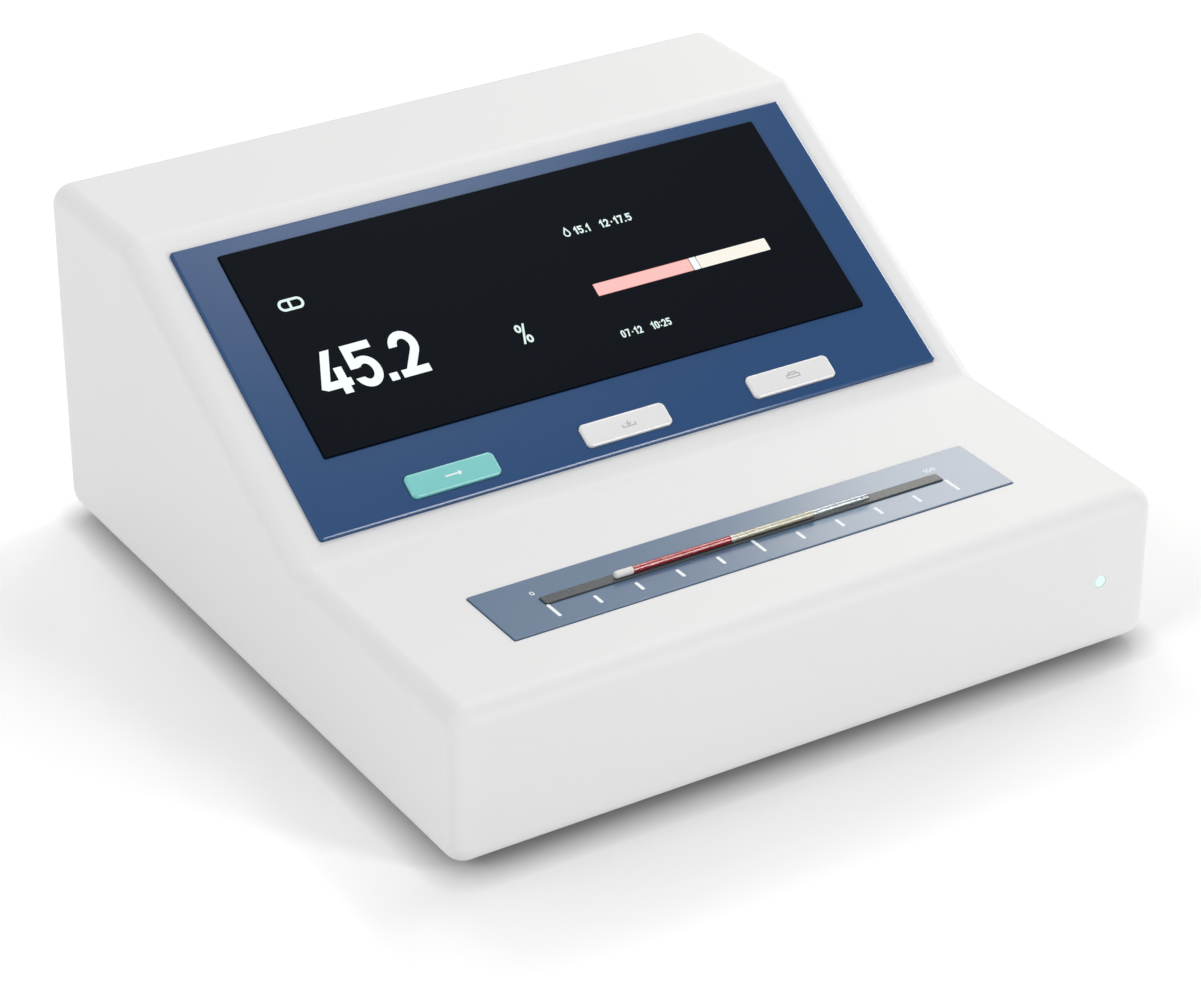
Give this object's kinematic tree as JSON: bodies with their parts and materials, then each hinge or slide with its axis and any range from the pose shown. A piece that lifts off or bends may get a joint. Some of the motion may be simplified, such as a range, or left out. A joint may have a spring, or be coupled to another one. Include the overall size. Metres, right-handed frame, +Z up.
{
  "type": "capillary blood tube analyzer",
  "caption": "Bench-top analyzer that reads the layers of a spun capillary blood tube lying on its deck and shows the result on a sloping display above push keys.",
  "frame": {"origin": "on the table, under the middle of the body's outline", "axes": "+Z up, the front with the status light faces -Y, +X to the right as seen from the front"},
  "size_m": [0.207, 0.2114, 0.0988],
  "materials": {
    "housing_white": "satin moulded ABS",
    "base_grey": "fine moulded texture",
    "foot_rubber": "matte rubber",
    "screw_steel": "zinc plated",
    "bezel_blue": "satin blue",
    "glass_black": "polished black cover glass",
    "key_teal": "satin",
    "key_white": "satin",
    "deck_blue": "polished blue",
    "strip_dark": "smoked glass",
    "tube_glass": "clear glass",
    "seal_clay": "matte sealing compound",
    "red_cells": "wet",
    "buffy_layer": "milky",
    "plasma_straw": "clear straw",
    "status_clear": "lit light pipe",
    "module_aluminium": "plain sheet",
    "part_steel": "plated",
    "motor_grey": "painted",
    "nut_brass": "turned",
    "board_green": "solder mask",
    "part_black": "fine moulded texture",
    "ribbon_grey": "smooth"
  },
  "bodies": {
    "body": {"upper_housing": "housing_white", "base_plate": "base_grey", "rear_panel": "base_grey", "foot_front_left": "foot_rubber", "foot_front_right": "foot_rubber", "foot_rear_left": "foot_rubber", "foot_rear_right": "foot_rubber", "base_screw_front_left": "screw_steel", "base_screw_front_right": "screw_steel", "base_screw_rear_left": "screw_steel", "base_screw_rear_right": "screw_steel", "bracket_screw_left": "screw_steel", "bracket_screw_right": "screw_steel", "keypad_screw_left": "screw_steel", "keypad_screw_right": "screw_steel", "scanner_screw_left": "screw_steel", "scanner_screw_right": "screw_steel", "bezel_plate": "bezel_blue", "display_glass": "glass_black", "deck_plate": "deck_blue", "scan_window": "strip_dark", "status_light_pipe": "status_clear", "lcd_module": "module_aluminium", "scanner_frame": "module_aluminium", "lcd_bracket": "part_steel", "guide_rod_front": "part_steel", "guide_rod_rear": "part_steel", "usb_port": "part_steel", "coin_cell": "part_steel", "scan_motor": "motor_grey", "keypad_board": "board_green", "main_board": "board_green", "power_supply_board": "board_green", "status_led_board": "board_green", "read_switch": "part_black", "save_switch": "part_black", "print_switch": "part_black", "power_inlet": "part_black", "switch_housing": "part_black", "display_ribbon": "ribbon_grey"},
    "read_button": {"read_key": "key_teal", "read_plunger": "part_black"},
    "save_button": {"save_key": "key_white", "save_plunger": "part_black"},
    "print_button": {"print_key": "key_white", "print_plunger": "part_black"},
    "power_rocker": {"switch_rocker": "part_black"},
    "scan_unit": {"scan_carriage": "part_black", "carriage_nut": "nut_brass", "optical_head": "part_black", "scan_lens": "tube_glass"},
    "drive_screw": {"lead_screw": "part_steel"},
    "blood_tube": {"capillary_tube": "tube_glass", "tube_seal": "seal_clay", "red_cell_column": "red_cells", "buffy_coat": "buffy_layer", "plasma_column": "plasma_straw"}
  },
  "joints": [
    {"name": "read_press", "type": "slide", "parent": "body", "child": "read_button", "axis": [0, 0.5131, -0.8583], "range_m": [0, 0.0008], "stiffness_N_per_m": 900, "springref_m": -0.0006},
    {"name": "save_press", "type": "slide", "parent": "body", "child": "save_button", "axis": [0, 0.5131, -0.8583], "range_m": [0, 0.0008], "stiffness_N_per_m": 900, "springref_m": -0.0006},
    {"name": "print_press", "type": "slide", "parent": "body", "child": "print_button", "axis": [0, 0.5131, -0.8583], "range_m": [0, 0.0008], "stiffness_N_per_m": 900, "springref_m": -0.0006},
    {"name": "power_rocker_tilt", "type": "hinge", "parent": "body", "child": "power_rocker", "pos_m": [0, 0.0991, 0.0285], "axis": [1, 0, 0], "range_deg": [-16, 0]},
    {"name": "scan_travel", "type": "slide", "parent": "body", "child": "scan_unit", "axis": [1, 0, 0], "range_m": [0, 0.116]},
    {"name": "drive_screw_spin", "type": "hinge", "parent": "body", "child": "drive_screw", "pos_m": [0, -0.0718, 0.02645], "axis": [1, 0, 0], "range_deg": [0, 5225]},
    {"name": "tube_lift_out", "type": "slide", "parent": "body", "child": "blood_tube", "axis": [0, 0, 1], "range_m": [0, 0.03]}
  ],
  "couplings": [
    {"joint": "drive_screw_spin", "follows": "scan_travel", "rad_per_m": 785.4}
  ]
}
